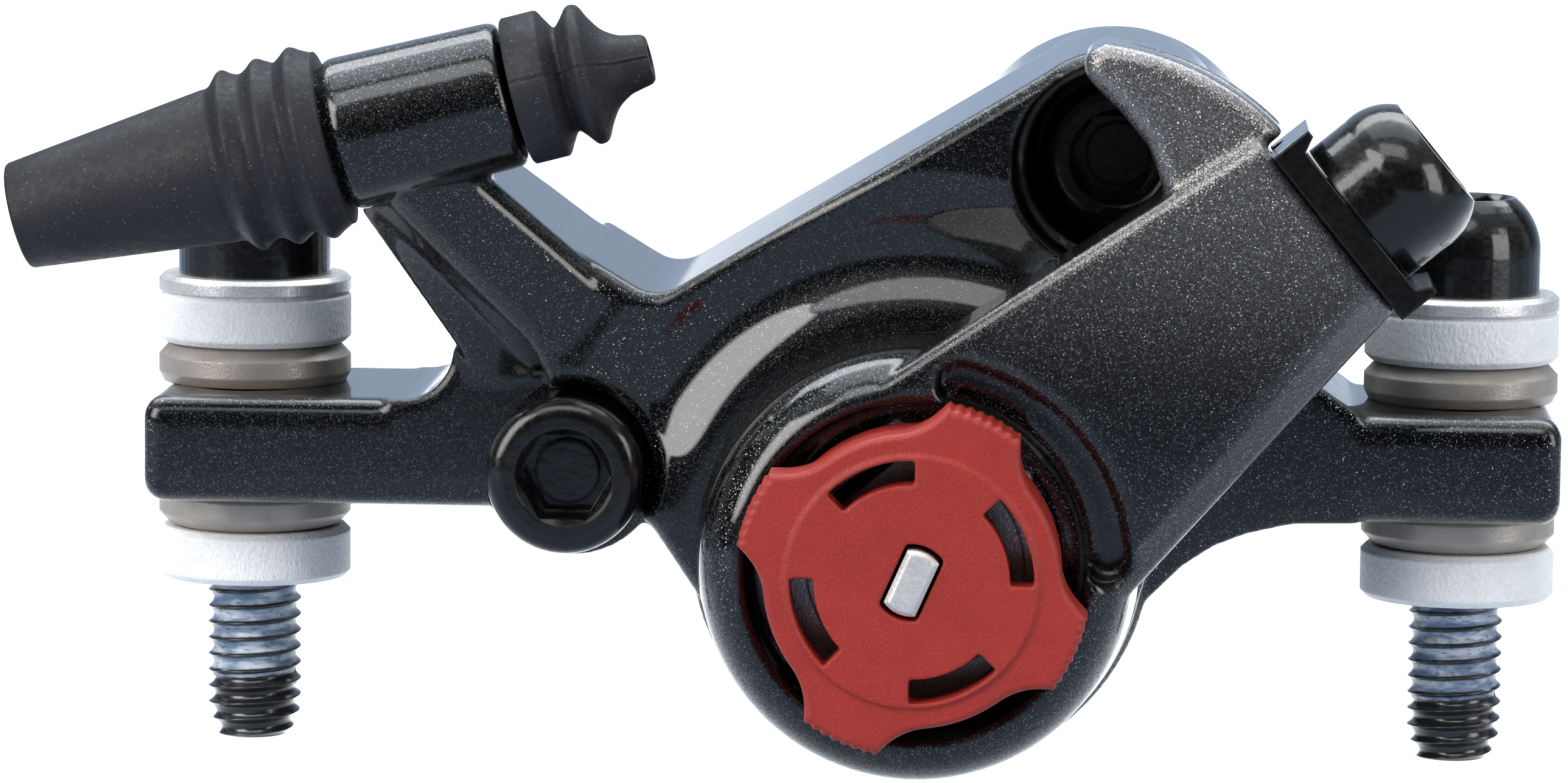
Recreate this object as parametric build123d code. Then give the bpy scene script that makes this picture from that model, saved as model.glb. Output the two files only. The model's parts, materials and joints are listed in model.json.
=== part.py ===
from build123d import *
import os
from math import sin, cos, radians, sqrt, atan2, degrees

# Frame: X to the right, Y from the arm side towards the wheel, Z up along the mounting bolts.
# The origin is midway between the mounting bolts, on the plane of the fork's post faces.

# Shared clearances and the overrun of every cut
OVERRUN = 1.0
RUN_FIT = 0.05
THREAD_FIT = 0.03
FACE_GAP = 0.05
BODY_GAP = 0.3
EDGE_SOFT = 0.5

# Depth levels along Y
PLATE_FRONT = -13.2
EAR_FRONT = -9.8
SPLIT_Y = 7.9
SLOT_INNER_Y = 12.7
INBOARD_BACK = 24.0
ROTOR_Y = 10.3
ROTOR_THICK = 1.8
PAD_GAP = 0.3

# Mounting ears, bolts and washers
BOLT_SPACING = 74.0
EAR_BOTTOM = 5.6
EAR_TOP = 12.1
EAR_LEFT = -42.6
EAR_RIGHT = 42.7
EAR_EDGE = 1.3
EAR_CORNER = 1.0
SLOT_WIDTH = 6.6
SLOT_LENGTH = 10.0
SLOT_Y = -0.8
THREAD_R = 3.0
PLAIN_R = 2.8
HOLE_R = 3.2
WASHER_R = 5.9
WASHER_BORE = 3.3
DOME_R = 14.0
CONVEX_SIDE = 1.9
CONVEX_RIM_R = 5.3
CONVEX_EDGE = 0.6
CONVEX_TOP = 2.9
CONCAVE_RIM = 2.45
CONCAVE_EDGE = 0.35
STACK = 5.6
SEAT_FIT = 0.02
THIN_WASHER = 1.0
THIN_EDGE = 0.3
MOUNT_LENGTH = 28.3
TIP_CHAMFER = 0.8

# Screw heads
HEAD_R = 4.7
HEAD_HEIGHT = 5.8
HEAD_STRAIGHT = 2.4
HEAD_MID_R = 4.3
HEAD_MID = 4.3
HEAD_TOP_R = 3.1
CAP_HEIGHT = 5.8
CAP_EDGE = 1.1
HEX_SIDES = 6
HEX_FLATS = 5.0
HEX_MOUTH = 0.45
HEX_DEPTH = 3.4
SOCKET_BOSS_R = 1.9
SOCKET_BOSS = 0.5

# Actuator axis and the body around it
PIVOT_X = 4.45
PIVOT_Z = 3.9
HOUSING_R = 13.9
FRONT_HOUSING_R = 13.4
CAM_BORE = 10.8
WALL_INNER = -10.2
NECK_R = 6.4
NECK_FLAT = 5.6
PAD_POCKET_R = 12.4
PAD_POCKET_Y = 3.9
INBOARD_POCKET_Y = 16.4
INBOARD_FOOT_Y = 18.3
INBOARD_FOOT_R = 8.9
KEY_WIDTH = 2.4
KEY_TOP = 11.6
KEY_GAP = 0.1

# Body bolts
LOW_BOLT = (-16.6, 8.4)
HIGH_BOLT = (15.9, 27.1)
LOW_BOSS_R = 5.5
SPOT_R = 5.1
HIGH_LUG_R = 7.0
WELL_R = 6.2
WELL_STEP_Y = -9.0
WELL_INNER_R = 5.4
WELL_SEAT = -0.6
LOW_LENGTH = 30.0
HIGH_LENGTH = 22.0
TAPPED_END = 21.5

# Rotor clearance around the wheel axle
ROTOR_TRACK = 72.5
ROTOR_CLEAR_R = 82.5
AXLE_X = 40.6
AXLE_Z = -59.0

# Body outlines in X and Z
CORE_OUTLINE = [
    (-27.8, 12.1), (-23.9, 12.1), (-23.8, 15.2), (-15.9, 21.5), (-11.35, 18.75), (12.4, 33.1),
    (15.9, 27.1), (22.9, 26.0), (24.4, 19.4), (26.8, 14.8), (30.7, 12.1), (30.7, 5.6), (26.6, 5.5),
    (24.0, 4.9), (22.0, 4.1), (20.2, 2.9), (17.9, 0.6), (4.45, 3.9), (-8.6, 0.3), (-11.8, 4.7),
    (-16.6, 8.4), (-27.8, 8.4)]
WEB_CORNER = (-23.9, 12.1)
WEB_R = 3.2
VALLEY = (-11.35, 18.75)
VALLEY_R = 2.4
FRONT_OUTLINE = [
    (-17.6, 13.4), (-19.8, 17.5), (-15.9, 21.5), (-11.35, 18.75), (12.4, 33.1), (15.9, 27.1),
    (22.9, 26.4), (21.6, 14.0), (17.2, 0.0), (4.45, 3.9), (-8.4, 0.5), (-11.6, 5.2), (-16.6, 8.4)]
PLATE_EDGE = 0.65
HUMP = (15.5, 23.2)
HUMP_R = 9.9
INBOARD_OUTLINE = [
    (-17.6, 13.6), (-11.0, 15.6), (6.0, 24.9), (15.5, 23.2), (25.0, 21.2), (17.8, 2.0), (4.45, 3.9),
    (-8.6, 0.3), (-11.8, 4.7), (-16.6, 8.4)]
INBOARD_EDGE = 1.5

# Strut between the body and the cable stop: distance from its upper edge, then depth
STRUT_LOW = (-13.7, 19.4)
STRUT_HIGH = (-24.1, 29.0)
STRUT_ACROSS = (-0.69, -0.724)
STRUT_LOW_SECTION = [
    (0.9, -13.2), (4.7, -13.2), (6.0, -12.3), (7.4, -9.8), (10.6, -9.2), (10.6, 7.9), (0.0, 7.9),
    (0.0, -12.3)]
STRUT_HIGH_SECTION = [
    (0.9, -18.4), (3.9, -18.4), (5.0, -17.5), (6.0, -15.2), (7.0, -13.5), (7.0, -5.0), (0.0, -5.0),
    (0.0, -17.5)]

# Cable stop and its two rubber boots: distances along the cable line from the stop's middle
STOP_X = -24.8
STOP_Y = -16.0
STOP_Z = 29.9
STOP_TILT = 14.8
STOP_HALF = 5.35
STOP_LEFT_R = 4.6
STOP_RIGHT_R = 4.35
STOP_EDGE = 0.6
HOUSING_BORE = 2.6
HOUSING_END = 3.4
CABLE_BORE = 1.2
SPIGOT_R = 4.1
SPIGOT_END = -8.6
NOZZLE_R = 2.95
NOZZLE_END = 7.9
BOOT_PROFILE = [
    (-25.0, 3.18), (-12.7, 4.6), (-12.1, 4.7), (-11.3, 5.45), (-10.7, 5.15), (-10.2, 4.98),
    (-9.7, 5.2), (-9.1, 5.62), (-8.5, 5.35), (-8.05, 5.15), (-7.6, 5.4), (-7.0, 5.8), (-6.4, 5.5),
    (-5.9, 5.25), (-5.65, 5.2)]
BOOT_CAVITY_END = -8.8
CUFF_START = 5.6
BELLOWS_PROFILE = [
    (5.6, 4.4), (7.7, 4.4), (8.1, 3.7), (8.55, 3.15), (9.0, 3.5), (9.5, 4.1), (9.85, 4.2),
    (10.2, 4.0), (10.6, 3.25), (11.2, 2.4), (12.0, 1.85), (12.7, 1.65), (13.4, 1.5), (13.65, 1.3)]
BELLOWS_ROOM_R = 2.3
BELLOWS_HOLLOW = [(9.7, BELLOWS_ROOM_R), (11.6, 0.9)]
WIRE_HOLE = 0.8

# Actuator arm: u runs out along the arm, v across it
ARM_ANGLE = 39.5
ARM_BACK = -13.5
ARM_FRONT = -21.2
BELL_R = 13.3
BELL_SHOULDER = (12.75, -17.0)
BELL_MID = (12.15, -19.9)
CREST_R = 10.6
RECESS_R = 10.0
RECESS_FLOOR = -16.9
HORN_R = 33.5
ARM_STEP = 2.1
ARM_END = HORN_R - ARM_STEP
ARM_OUTLINE = [(0.0, 10.55), (ARM_END, 7.3), (ARM_END, -5.6), (0.0, -10.5)]
ARM_BEVEL = 2.0
ARM_EDGE = 0.5
FINGER_R = 12.6
FINGER_FLOOR = -17.6
FINGER_FROM = -36.0
FINGER_TO = 38.0
HORN_INSETS = [
    (8.25, 14.9), (6.7, 18.8), (5.2, 22.5), (4.1, 27.2), (3.2, 31.4), (2.75, 32.5), (2.1, 33.0), (1.4, 32.8)]
HORN_TIP_INSET = 0.7
HORN_START = 31.6
HORN_MID = 24.0
HORN_END = 11.4
HORN_FRONT = -20.4
HORN_BACK = -13.7
HORN_EDGE = 0.7
GROOVE_R = 0.9
ANCHOR_HOLE = 11.9
SPRING_ROOM_IN = 7.6
SPRING_ROOM_OUT = 10.1
SPRING_ROOM_Y = -15.9

# Cable anchor: clamp plate and screw, along u
CLAMP_START = ARM_END + FACE_GAP
CLAMP_THICK = 1.7
CLAMP_HALF = 6.0
CLAMP_LIP = 0.9
CLAMP_LIP_THICK = 0.9
CLAMP_FRONT = -21.8
CLAMP_BACK = -13.6
CLAMP_CABLE_V = 3.9
ANCHOR_HEAD = 5.7
ANCHOR_STRAIGHT = 2.6
ANCHOR_MID_R = 4.5
ANCHOR_MID = 4.4
ANCHOR_TOP_R = 3.6
ANCHOR_LENGTH = 12.0

# Knobs
KNOB_FACE = -24.9
KNOB_RIM_R = 8.65
KNOB_LOBE_R = 10.45
KNOB_BACK = -21.5
KNOB_SKIRT_END = -19.3
KNOB_SKIRT_IN = 7.9
KNOB_PLATE = 2.0
KNOB_LIFT = 0.2
KNOB_DISC_R = 7.4
KNOB_HUB_R = 3.6
KNOB_EDGE = 0.5
LOBE_ANGLE = 66.3
LOBE_COUNT = 4
LOBE_HALF = 12.5
LOBE_ROOT = 21.5
ROOT_R = 4.0
TEETH = 7
TOOTH = 0.22
VENT_IN = 5.7
VENT_OUT = 7.1
VENT_HALF = 22.8
VENT_TURN = 45.5
STEM_R = 1.95
STEM_FLAT = 1.0
STEM_TIP = -25.5
STEM_TIP_EDGE = 0.25
STEM_SLOT_R = 2.25
STEM_SLOT_FLAT = 1.2
INBOARD_KNOB_Y = 24.6
INBOARD_KNOB_THICK = 3.4

# Drive train inside the housing
WASHER_THICK = 0.5
WASHER_IN = 6.7
WASHER_OUT = 10.3
DRIVE_R = 10.4
DRIVE_FACE = -7.0
DRIVE_BORE = 2.6
BALL_R = 1.6
BALL_CIRCLE = 7.8
BALL_Y = -6.4
BALL_COUNT = 3
BALL_START = 30.0
CAGE_FRONT = -6.75
CAGE_BACK = -6.45
CAGE_IN = 5.6
CAGE_OUT = 10.2
THRUST_FRONT = -6.2
THRUST_BACK = -1.5
THRUST_R = 10.75
RAMP_RISE = 1.0
RAMP_ANGLE = 15.0
RAMP_SLACK = 0.07
SCREW_R = 4.95
SCREW_FRONT = -6.0
SCREW_BACK = 1.2
SCREW_PIN_R = 2.0
SCREW_PIN_END = 3.2
FOOT_R = 8.5
FOOT_BOSS_R = 4.5
FOOT_BOSS_Y = 1.25
FOOT_Y = 2.6
FOOT_PAD_Y = 4.85
NUT_FLATS = 15.0
NUT_FRONT = -18.9
SEAL_IN = 6.9
SEAL_OUT = 7.5
SEAL_DEPTH = 0.5
RETURN_R = 8.8
RETURN_WIRE = 0.8
RETURN_PITCH = 1.05
RETURN_TURNS = 1.2
RETURN_START = -13.8

# Pads and their spreader
LINING = 2.4
PAD_PLATE = 1.8
PAD_R = 12.0
LINING_R = 10.8
PAD_TAB_HALF = 3.2
PAD_TAB_R = 14.4
TAB_ROOM = 0.3
LEAF = 0.3
LEAF_IN = 10.95
LEAF_OUT = 11.9
LEAF_FROM = 60.0
LEAF_TO = 180.0
LEAF_BRIDGE = 5.0
PAD_TRAVEL = 0.55
THRUST_TRAVEL = 1.0

SIDE_TURN = -90.0
AXLE_DIRECTION = degrees(atan2(AXLE_Z - PIVOT_Z, AXLE_X - PIVOT_X))
PIVOT = Pos(PIVOT_X, 0, PIVOT_Z)
ALONG_Y = Rot(SIDE_TURN, 0, 0)
ARM = PIVOT * Rot(0, -ARM_ANGLE, 0)
STOP = Pos(STOP_X, STOP_Y, STOP_Z) * Rot(0, -STOP_TILT, 0)
ARM_MIDDLE = (ARM_FRONT + ARM_BACK) / 2

os.makedirs("parts", exist_ok=True)


def save(name, shape):
    shape.label = name
    export_step(shape, "parts/" + name + ".step")
    print(name, "volume", round(shape.volume, 2), "solids", len(shape.solids()))


def polar(radius, angle):
    return (radius * cos(radians(angle)), radius * sin(radians(angle)))


def flat(*corners):
    """A flat outline whose corners run the same way round as a circle does."""
    following = corners[1:] + corners[:1]
    turn = sum(first[0] * second[1] - second[0] * first[1] for first, second in zip(corners, following))
    return Polygon(*(corners if turn > 0 else corners[::-1]), align=None)


def between(sketch, y_low, y_high):
    """A flat X-Z outline made into a slab from y_low to y_high."""
    return extrude(Plane.XZ.offset(-y_high) * sketch, amount=y_high - y_low, dir=(0, -1, 0))


def disc(radius, x=0.0, z=0.0):
    return Pos(x, z) * Circle(radius)


def ring(inner, outer, y_low, y_high):
    """A ring around the actuator axis."""
    return between(disc(outer, PIVOT_X, PIVOT_Z) - disc(inner, PIVOT_X, PIVOT_Z), y_low, y_high)


def rod(radius, y_low, y_high, x=PIVOT_X, z=PIVOT_Z):
    return between(disc(radius, x, z), y_low, y_high)


def sector(inner, outer, low_angle, high_angle):
    """A flat stretch of a ring from one angle to another."""
    middle = (low_angle + high_angle) / 2
    outside = ThreePointArc(polar(outer, low_angle), polar(outer, middle), polar(outer, high_angle))
    inside = ThreePointArc(polar(inner, high_angle), polar(inner, middle), polar(inner, low_angle))
    return make_face([outside, Line(outside @ 1, inside @ 0), inside, Line(inside @ 1, outside @ 0)])


def turned(points):
    """A solid of revolution around Z from (radius, height) corners."""
    return revolve(Plane.XZ * flat(*points), axis=Axis.Z)


def turned_along(points):
    """A solid of revolution around X from (distance, radius) corners."""
    return Rot(0, 90, 0) * turned([(radius, along) for along, radius in points])


def stem_outline(radius, flat):
    blade = disc(radius) & Rectangle(2 * radius, 2 * flat)
    return Pos(PIVOT_X, PIVOT_Z) * Rot(0, 0, LOBE_ANGLE) * blade


def vertex_near(sketch, point):
    return sketch.vertices().sort_by_distance((point[0], point[1], 0))[0]


# Screws: the head's underside lies on Z = 0 and the shank runs down
def hex_socket(top):
    hexagon = RegularPolygon(HEX_FLATS / 2, HEX_SIDES, major_radius=False)
    floor = top - HEX_DEPTH
    socket = extrude(Pos(0, 0, floor) * hexagon, amount=HEX_DEPTH + OVERRUN)
    mouth_r = HEX_FLATS / 2 + HEX_MOUTH
    cone_end = top - HEX_MOUTH - HEX_FLATS / 2
    mouth = turned([(0, cone_end), (mouth_r, top), (mouth_r, top + OVERRUN), (0, top + OVERRUN)])
    boss_top = floor + SOCKET_BOSS
    boss = turned([(0, floor), (SOCKET_BOSS_R, floor), (SOCKET_BOSS_R, boss_top), (0, boss_top)])
    return socket + mouth - boss


def shank(length, plain):
    """A thread's outer cylinder with a chamfered tip, below a plain part that is slightly thinner."""
    return turned([
        (0, 0), (PLAIN_R, 0), (PLAIN_R, -plain), (THREAD_R, -plain), (THREAD_R, TIP_CHAMFER - length),
        (THREAD_R - TIP_CHAMFER, -length), (0, -length)])


def domed_screw(length, plain, height, straight, middle, top_r):
    """A screw whose head is straight at first and then curves through the middle point to its flat top."""
    side = Polyline((0, height), (0, 0), (HEAD_R, 0), (HEAD_R, straight))
    dome = ThreePointArc((HEAD_R, straight), middle, (top_r, height))
    top = Line((top_r, height), (0, height))
    head = revolve(Plane.XZ * make_face(side + dome + top), axis=Axis.Z)
    return head + shank(length, plain) - hex_socket(height)


def cap_screw(length, plain):
    outline = flat((0, 0), (HEAD_R, 0), (HEAD_R, CAP_HEIGHT), (0, CAP_HEIGHT))
    outline = fillet(vertex_near(outline, (HEAD_R, CAP_HEIGHT)), CAP_EDGE)
    head = revolve(Plane.XZ * outline, axis=Axis.Z)
    return head + shank(length, plain) - hex_socket(CAP_HEIGHT)


# Outboard half of the body
core = flat(*CORE_OUTLINE)
core += disc(HOUSING_R, PIVOT_X, PIVOT_Z)
core += disc(LOW_BOSS_R, *LOW_BOLT)
core += disc(HIGH_LUG_R, *HIGH_BOLT)
core = fillet(vertex_near(core, WEB_CORNER), WEB_R)
core = fillet(vertex_near(core, VALLEY), VALLEY_R)
outboard = between(core, EAR_FRONT, SPLIT_Y)


def ear(x_low, x_high, outer_x):
    """One ear with rounded front edges and a rounded outer end."""
    outline = flat((x_low, EAR_BOTTOM), (x_high, EAR_BOTTOM), (x_high, EAR_TOP), (x_low, EAR_TOP))
    block = between(outline, EAR_FRONT, SPLIT_Y)
    block = fillet(block.edges().filter_by(Axis.Z).filter_by_position(Axis.X, outer_x, outer_x), EAR_CORNER)
    front = block.edges().filter_by(Axis.X).group_by(Axis.Y)[0]
    return fillet(front, EAR_EDGE)


outboard += ear(EAR_LEFT, LOW_BOLT[0], EAR_LEFT)
outboard += ear(HIGH_BOLT[0], EAR_RIGHT, EAR_RIGHT)

# Raised front plate with its soft edge
plate = flat(*FRONT_OUTLINE)
plate += disc(FRONT_HOUSING_R, PIVOT_X, PIVOT_Z)
plate += disc(HIGH_LUG_R, *HIGH_BOLT)
plate = fillet(vertex_near(plate, VALLEY), VALLEY_R)
plate -= disc(SPOT_R, *LOW_BOLT)
front_plate = between(plate, PLATE_FRONT, EAR_FRONT + OVERRUN)
front_plate = chamfer(front_plate.faces().sort_by(Axis.Y)[0].outer_wire().edges(), PLATE_EDGE)
outboard += front_plate


# Strut up to the cable stop
def strut_section(corner, section):
    points = []
    for across, depth in section:
        points.append((corner[0] + across * STRUT_ACROSS[0], depth, corner[1] + across * STRUT_ACROSS[1]))
    return make_face(Polyline(*points, close=True))


strut_ends = [strut_section(STRUT_LOW, STRUT_LOW_SECTION), strut_section(STRUT_HIGH, STRUT_HIGH_SECTION)]
strut = loft(strut_ends, ruled=True)
outboard += strut

# Cable stop: painted barrel with a spigot for each boot
stop = Rot(0, 90, 0) * Cone(STOP_LEFT_R, STOP_RIGHT_R, 2 * STOP_HALF)
stop = fillet(stop.edges().filter_by(GeomType.CIRCLE), STOP_EDGE)
stop += turned_along([(SPIGOT_END, 0), (SPIGOT_END, SPIGOT_R), (0, SPIGOT_R), (0, 0)])
stop += turned_along([(0, 0), (0, NOZZLE_R), (NOZZLE_END, NOZZLE_R), (NOZZLE_END, 0)])
outboard += STOP * stop
housing_bore = turned_along([
    (SPIGOT_END - OVERRUN, 0), (SPIGOT_END - OVERRUN, HOUSING_BORE), (HOUSING_END, HOUSING_BORE),
    (HOUSING_END, CABLE_BORE), (NOZZLE_END + OVERRUN, CABLE_BORE), (NOZZLE_END + OVERRUN, 0)])
outboard -= STOP * housing_bore

# Bores of the outboard half
outboard -= rod(CAM_BORE, WALL_INNER, PAD_POCKET_Y + OVERRUN)
outboard -= rod(PAD_POCKET_R, PAD_POCKET_Y, SPLIT_Y + OVERRUN)
outboard -= rod(NECK_R + RUN_FIT, PLATE_FRONT - OVERRUN, WALL_INNER + OVERRUN)
outboard -= rod(SEAL_OUT + RUN_FIT, PLATE_FRONT - OVERRUN, PLATE_FRONT + SEAL_DEPTH)
key_half = KEY_WIDTH / 2 + KEY_GAP
keyway = flat((-key_half, 0), (key_half, 0), (key_half, KEY_TOP + KEY_GAP), (-key_half, KEY_TOP + KEY_GAP))
outboard -= between(Pos(PIVOT_X, PIVOT_Z) * keyway, THRUST_FRONT - KEY_GAP, PAD_POCKET_Y + OVERRUN)
outboard -= rod(HOLE_R, PLATE_FRONT - OVERRUN, SPLIT_Y + OVERRUN, *LOW_BOLT)
outboard -= rod(SPOT_R, PLATE_FRONT - HEAD_HEIGHT, EAR_FRONT, *LOW_BOLT)
outboard -= rod(HOLE_R, WELL_SEAT - OVERRUN, SPLIT_Y + OVERRUN, *HIGH_BOLT)
outboard -= rod(WELL_INNER_R, WELL_STEP_Y - OVERRUN, WELL_SEAT, *HIGH_BOLT)
outboard -= rod(WELL_R, PLATE_FRONT - OVERRUN, WELL_STEP_Y, *HIGH_BOLT)

# Notch for the pads' pull tabs, on the side of the wheel axle
tab_half = PAD_TAB_HALF + TAB_ROOM
tab_room = Pos(PIVOT_X, PIVOT_Z) * Rot(0, 0, AXLE_DIRECTION) * flat(
    (0, -tab_half), (PAD_TAB_R + OVERRUN, -tab_half), (PAD_TAB_R + OVERRUN, tab_half), (0, tab_half))
outboard -= between(tab_room, PAD_POCKET_Y, SPLIT_Y + OVERRUN)

# Slots in the ears
for bolt_x in (-BOLT_SPACING / 2, BOLT_SPACING / 2):
    slot = Pos(bolt_x, SLOT_Y) * Rot(0, 0, 90) * SlotOverall(SLOT_LENGTH, SLOT_WIDTH)
    outboard -= Pos(0, 0, EAR_BOTTOM - OVERRUN) * extrude(slot, amount=EAR_TOP - EAR_BOTTOM + 2 * OVERRUN)
save("outboard_half", outboard)

# Inboard half of the body
back_outline = flat(*INBOARD_OUTLINE)
back_outline += disc(HOUSING_R, PIVOT_X, PIVOT_Z)
back_outline += disc(LOW_BOSS_R, *LOW_BOLT)
back_outline += disc(HUMP_R, *HUMP)
inboard = between(back_outline, SPLIT_Y, INBOARD_BACK)
inboard = chamfer(inboard.faces().sort_by(Axis.Y)[-1].outer_wire().edges(), INBOARD_EDGE)
inboard -= rod(ROTOR_CLEAR_R, SPLIT_Y - OVERRUN, SLOT_INNER_Y, AXLE_X, AXLE_Z)
inboard -= rod(PAD_POCKET_R, SPLIT_Y - OVERRUN, INBOARD_POCKET_Y)
inboard -= rod(INBOARD_FOOT_R, INBOARD_POCKET_Y - OVERRUN, INBOARD_FOOT_Y)
inboard -= rod(SCREW_R + RUN_FIT, INBOARD_FOOT_Y - OVERRUN, INBOARD_BACK + OVERRUN)
inboard -= between(tab_room, SPLIT_Y - OVERRUN, INBOARD_POCKET_Y)
for bolt in (LOW_BOLT, HIGH_BOLT):
    inboard -= rod(THREAD_R + THREAD_FIT, SPLIT_Y - OVERRUN, TAPPED_END, *bolt)
save("inboard_half", inboard)

# Body bolts
low_screw = Rot(90, 0, 0) * cap_screw(LOW_LENGTH, SPLIT_Y - EAR_FRONT)
high_screw = Rot(90, 0, 0) * cap_screw(HIGH_LENGTH, SPLIT_Y - WELL_SEAT)
low_bolt = Pos(LOW_BOLT[0], EAR_FRONT, LOW_BOLT[1]) * low_screw
high_bolt = Pos(HIGH_BOLT[0], WELL_SEAT, HIGH_BOLT[1]) * high_screw
save("body_bolts", Compound(children=[low_bolt, high_bolt]))

# Mounting bolts and the washers that let the caliper tilt on its posts
upper_seat = EAR_TOP + STACK + THIN_WASHER
mount_screw = domed_screw(
    MOUNT_LENGTH, upper_seat, HEAD_HEIGHT, HEAD_STRAIGHT, (HEAD_MID_R, HEAD_MID), HEAD_TOP_R)


def pair(shape, height, flipped=False):
    """The same piece on both mounting bolts, turned upside down where flipped."""
    turn = Rot(180, 0, 0) if flipped else Rot(0, 0, 0)
    placed = [Pos(x, 0, height) * turn * shape for x in (-BOLT_SPACING / 2, BOLT_SPACING / 2)]
    return Compound(children=placed)


def dome_height(radius):
    return CONVEX_TOP - sqrt(DOME_R ** 2 - WASHER_BORE ** 2) + sqrt(DOME_R ** 2 - radius ** 2)


def dome_arc(inner, outer, lift):
    """The ball-shaped seat from one radius to another, lifted off the convex washer by a fit."""
    steps = (inner, (inner + outer) / 2, outer)
    return ThreePointArc(*[(radius, dome_height(radius) + lift) for radius in steps])


# Convex washer: flat side on the ear, ball-shaped side away from it
rim_top = dome_height(CONVEX_RIM_R)
convex_sides = Polyline(
    (WASHER_BORE, CONVEX_TOP), (WASHER_BORE, 0), (WASHER_R - CONVEX_EDGE / 2, 0), (WASHER_R, CONVEX_EDGE),
    (WASHER_R, CONVEX_SIDE - CONVEX_EDGE / 2), (CONVEX_RIM_R, rim_top))
convex_face = make_face(convex_sides + dome_arc(WASHER_BORE, CONVEX_RIM_R, 0))
convex = revolve(Plane.XZ * convex_face, axis=Axis.Z)

# Concave washer: its hollow side takes the ball shape
rim_drop = CONCAVE_RIM - SEAT_FIT - CONVEX_TOP
touch_r = sqrt(DOME_R ** 2 - (rim_drop + sqrt(DOME_R ** 2 - WASHER_BORE ** 2)) ** 2)
concave_sides = Polyline(
    (touch_r, CONCAVE_RIM), (WASHER_R - CONCAVE_EDGE, CONCAVE_RIM), (WASHER_R, CONCAVE_RIM + CONCAVE_EDGE),
    (WASHER_R, STACK - CONCAVE_EDGE), (WASHER_R - CONCAVE_EDGE, STACK), (WASHER_BORE, STACK),
    (WASHER_BORE, CONVEX_TOP + SEAT_FIT))
concave_face = make_face(concave_sides + dome_arc(WASHER_BORE, touch_r, SEAT_FIT))
concave = revolve(Plane.XZ * concave_face, axis=Axis.Z)
thin = turned([
    (HOLE_R, 0), (WASHER_R, 0), (WASHER_R, THIN_WASHER - THIN_EDGE), (WASHER_R - THIN_EDGE, THIN_WASHER),
    (HOLE_R, THIN_WASHER)])
save("convex_washers_upper", pair(convex, EAR_TOP))
save("concave_washers_upper", pair(concave, EAR_TOP))
save("flat_washers", pair(thin, EAR_TOP + STACK))
save("convex_washers_lower", pair(convex, EAR_BOTTOM, True))
save("concave_washers_lower", pair(concave, EAR_BOTTOM, True))
save("mount_bolts", pair(mount_screw, upper_seat))

# Rubber boot on the housing side of the stop
boot_points = [(along, radius) for along, radius in BOOT_PROFILE]
boot_curve = Spline(*boot_points[1:])
boot_start = Line(boot_points[0], boot_points[1])
boot_inside = Polyline(
    boot_points[-1], (boot_points[-1][0], SPIGOT_R + THREAD_FIT), (BOOT_CAVITY_END, SPIGOT_R + THREAD_FIT),
    (BOOT_CAVITY_END, HOUSING_BORE), (boot_points[0][0], HOUSING_BORE), boot_points[0])
boot_face = make_face(boot_start + boot_curve + boot_inside)
save("housing_boot", STOP * revolve(boot_face, axis=Axis.X))

# Rubber bellows on the cable side of the stop
bellows_points = [(along, radius) for along, radius in BELLOWS_PROFILE]
bellows_curve = Spline(*bellows_points[1:])
bellows_start = Line(bellows_points[0], bellows_points[1])
bellows_end = bellows_points[-1][0]
cuff_step = NOZZLE_END + FACE_GAP
bellows_inside = Polyline(
    bellows_points[-1], (bellows_end, WIRE_HOLE), (BELLOWS_HOLLOW[1][0], WIRE_HOLE), BELLOWS_HOLLOW[1],
    BELLOWS_HOLLOW[0], (cuff_step, BELLOWS_ROOM_R), (cuff_step, NOZZLE_R + THREAD_FIT),
    (CUFF_START, NOZZLE_R + THREAD_FIT), bellows_points[0])
bellows_face = make_face(bellows_start + bellows_curve + bellows_inside)
save("cable_boot", STOP * revolve(bellows_face, axis=Axis.X))

# Actuator arm: bell, slab and cable guide
bell_side = Polyline((0, ARM_BACK), (BELL_R, ARM_BACK), BELL_SHOULDER)
bell_round = ThreePointArc(BELL_SHOULDER, BELL_MID, (CREST_R, ARM_FRONT))
bell_front = Polyline((CREST_R, ARM_FRONT), (0, ARM_FRONT), (0, ARM_BACK))
arm = ALONG_Y * revolve(Plane.XZ * make_face(bell_side + bell_round + bell_front), axis=Axis.Z)
slab = between(flat(*ARM_OUTLINE), ARM_FRONT, ARM_BACK)
lower_edge = slab.edges().group_by(Axis.Y)[0].sort_by(Axis.Z)[0]
slab = chamfer(lower_edge, ARM_BEVEL)
upper_edge = slab.edges().group_by(Axis.Y)[0].sort_by(Axis.Z)[-1]
slab = chamfer(upper_edge, ARM_EDGE)
arm += slab
horn_tip = polar(HORN_R - HORN_TIP_INSET, HORN_START)
horn_arc = ThreePointArc(horn_tip, polar(HORN_R, HORN_MID), polar(HORN_R, HORN_END))
horn_inner = Polyline(
    polar(HORN_R, HORN_END), *[polar(HORN_R - inset, angle) for inset, angle in HORN_INSETS], horn_tip)
horn = between(make_face(horn_arc + horn_inner), HORN_FRONT, HORN_BACK)
horn = chamfer(horn.faces().sort_by(Axis.Y)[0].outer_wire().edges(), HORN_EDGE)
arm += horn
arm -= between(disc(RECESS_R), ARM_FRONT - OVERRUN, RECESS_FLOOR)
finger_room = sector(RECESS_R - OVERRUN, FINGER_R, FINGER_FROM, FINGER_TO)
finger_end_r = (FINGER_R - RECESS_R) / 2
for end_angle in (FINGER_FROM, FINGER_TO):
    finger_room += disc(finger_end_r, *polar(FINGER_R - finger_end_r, end_angle))
arm -= between(finger_room, ARM_FRONT - OVERRUN, FINGER_FLOOR)
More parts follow.
